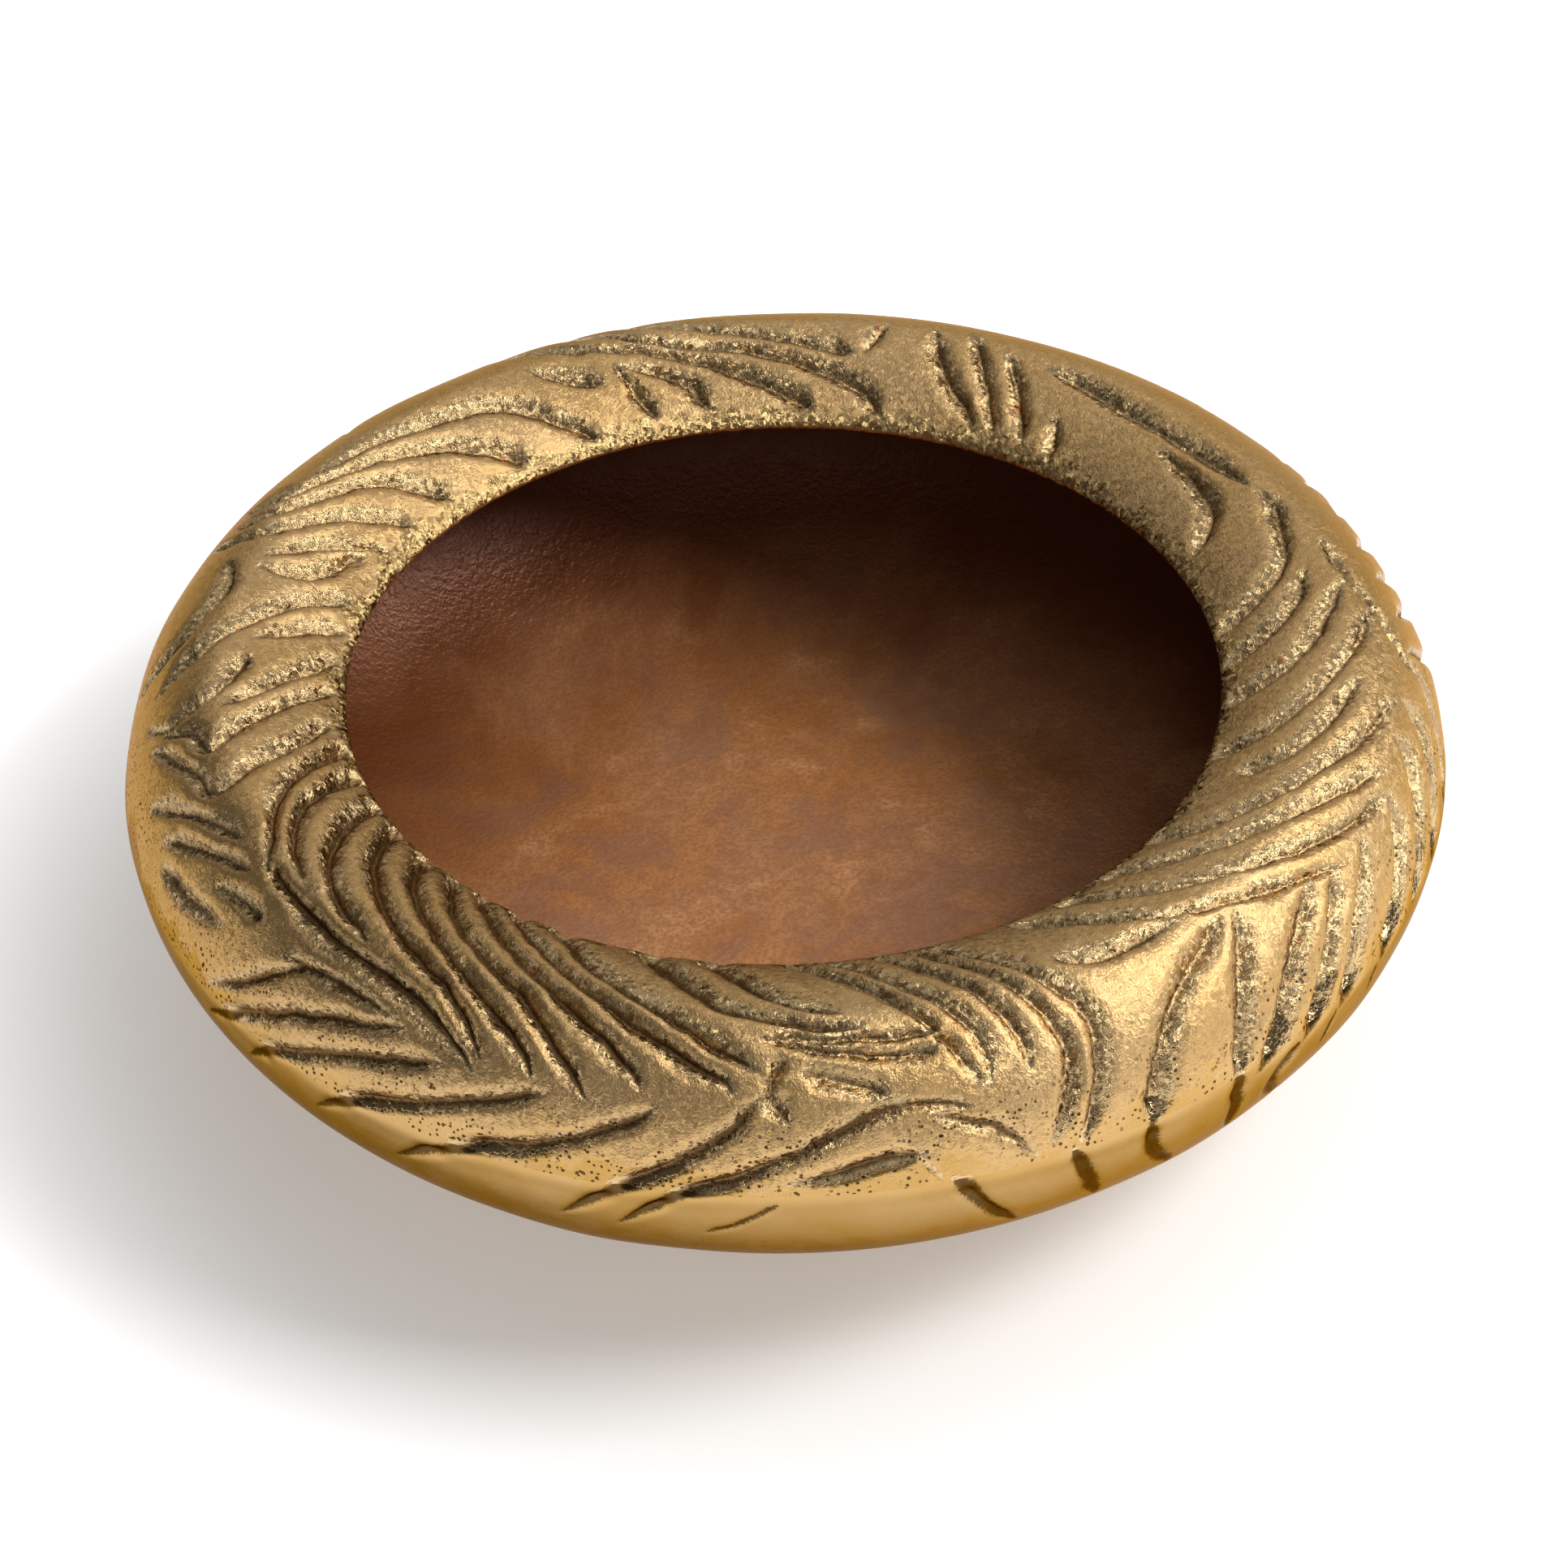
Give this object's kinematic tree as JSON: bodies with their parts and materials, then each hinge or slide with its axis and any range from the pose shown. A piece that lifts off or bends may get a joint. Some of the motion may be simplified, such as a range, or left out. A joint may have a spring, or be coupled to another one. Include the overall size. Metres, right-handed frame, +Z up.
{
  "type": "urli bowl",
  "caption": "Round cast-brass urli bowl with an in-curled rim over a belly-shaped base, brazed at its widest line, on small felt pads.",
  "frame": {"origin": "centre of the circle the bowl stands on, on the plane that the felt pads rest on", "axes": "+Z up along the bowl's axis; +X to the right and -Y towards the front of the bowl"},
  "size_m": [0.3, 0.3, 0.0855],
  "materials": {
    "rim_brass": "sand-cast, hand-gouged, glittering in the gouges",
    "base_brass": "smooth satin polish below the widest line",
    "braze_brass": "ground flush",
    "copper_lacquer": "copper-brown lacquer with mottled patina",
    "adhesive": "translucent pressure-sensitive film",
    "felt": "dense wool felt"
  },
  "bodies": {
    "root": {"rim_casting": "rim_brass", "base_casting": "base_brass", "seam_braze": "braze_brass", "interior_coat": "copper_lacquer", "adhesive_discs": "adhesive", "felt_pad_1": "felt", "felt_pad_2": "felt", "felt_pad_3": "felt", "felt_pad_4": "felt"}
  },
  "joints": []
}
